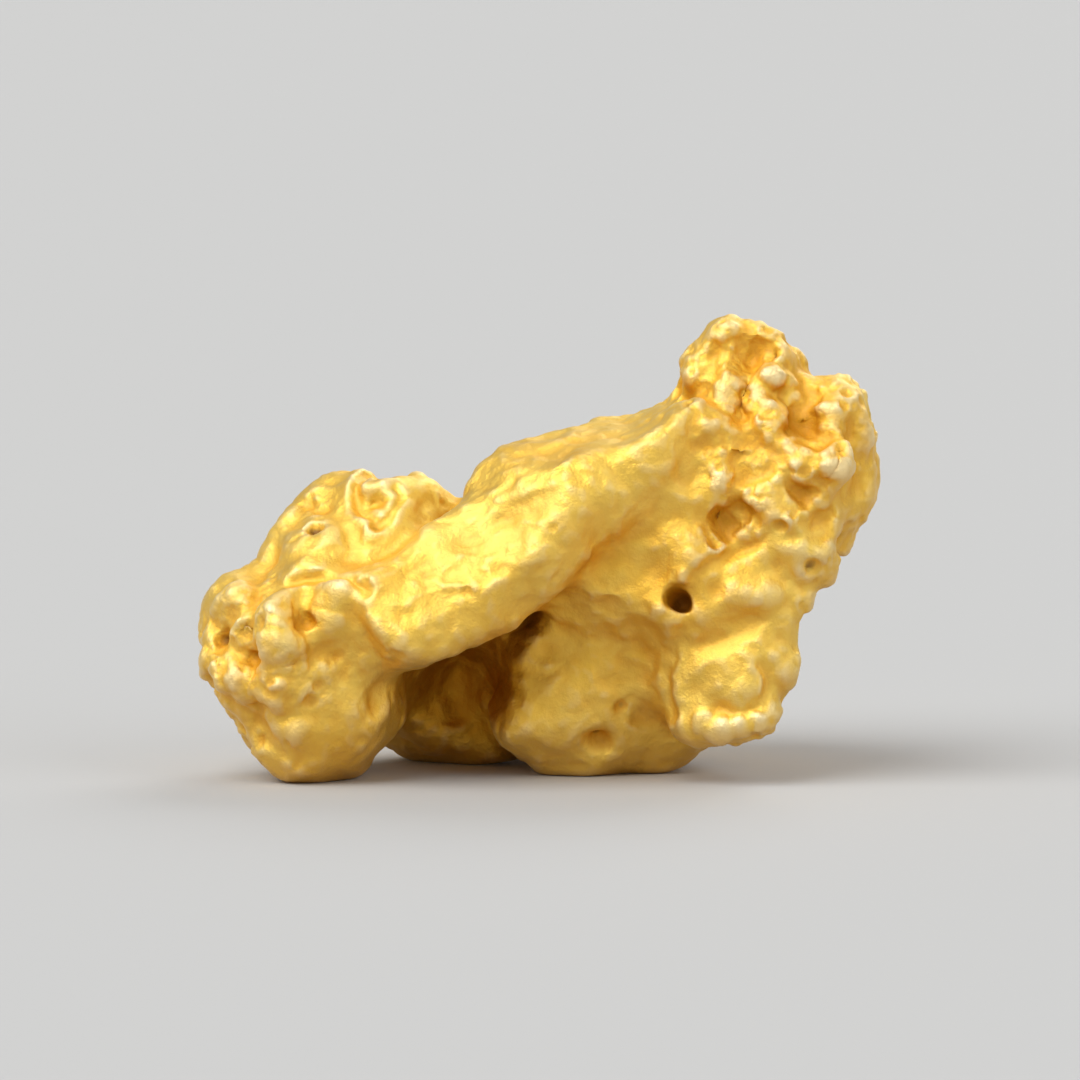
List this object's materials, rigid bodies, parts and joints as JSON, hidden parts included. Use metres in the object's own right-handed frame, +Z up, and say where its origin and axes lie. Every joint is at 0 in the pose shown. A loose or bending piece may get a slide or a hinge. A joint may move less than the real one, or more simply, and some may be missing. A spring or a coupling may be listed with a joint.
{
  "type": "gold nugget",
  "caption": "Irregular lump of native gold: rounded lobes, a smooth arm over a hollow, a crusty upper lobe, small pits and worn flats to rest on.",
  "frame": {"origin": "middle of the footprint, on the surface that the nugget rests on", "axes": "+X along the nugget's length towards its crusty lobe, +Y away from the side that the picture shows, +Z up"},
  "size_m": [0.0096, 0.0056, 0.0064],
  "materials": {
    "gold": "satin, with grainy hollows"
  },
  "bodies": {
    "root": {"nugget": "gold"}
  },
  "joints": []
}
